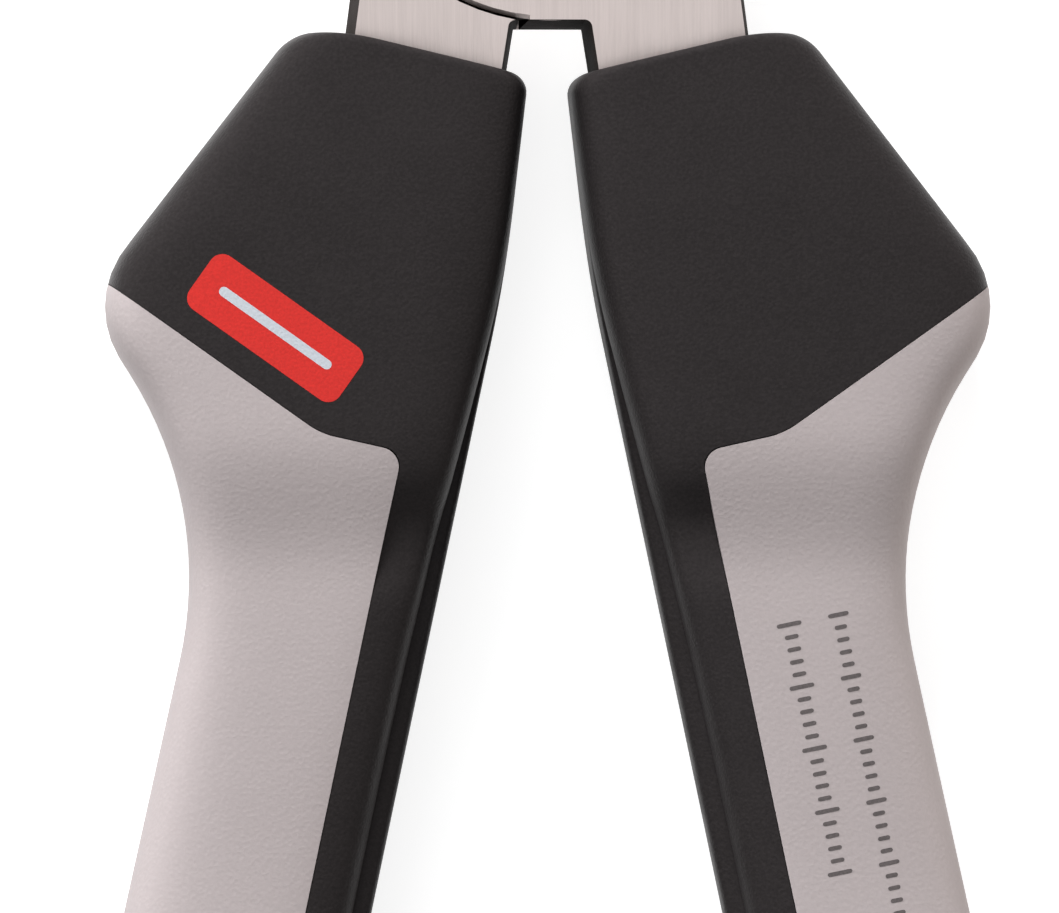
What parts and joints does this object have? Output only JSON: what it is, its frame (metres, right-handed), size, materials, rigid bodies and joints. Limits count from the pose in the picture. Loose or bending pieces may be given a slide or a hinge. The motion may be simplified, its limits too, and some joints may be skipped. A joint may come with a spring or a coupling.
{
  "type": "side cutter",
  "caption": "Lap-jointed side cutter for hard wire, with bevelled jaws, a flush rivet and two-colour moulded grips with finger guards.",
  "frame": {"origin": "centre of the overall plan box, on the surface that the tool lies on", "axes": "+Y towards the nose of the jaws, +X towards the right handle, +Z out of the front face"},
  "size_m": [0.0672, 0.18, 0.0166],
  "materials": {
    "ground_steel": "ground",
    "rivet_steel": "ground",
    "black_plastic": "fine grain",
    "grey_plastic": "satin"
  },
  "bodies": {
    "front_half": {"front_lever": "ground_steel", "pivot_rivet": "rivet_steel", "right_grip_core": "black_plastic", "right_grip_soft": "grey_plastic"},
    "rear_half": {"rear_lever": "ground_steel", "left_grip_core": "black_plastic", "left_grip_soft": "grey_plastic"}
  },
  "joints": [
    {"name": "pivot", "type": "hinge", "parent": "front_half", "child": "rear_half", "pos_m": [0, 0.056, 0.0083], "axis": [0, 0, -1], "range_deg": [0, 24]}
  ]
}
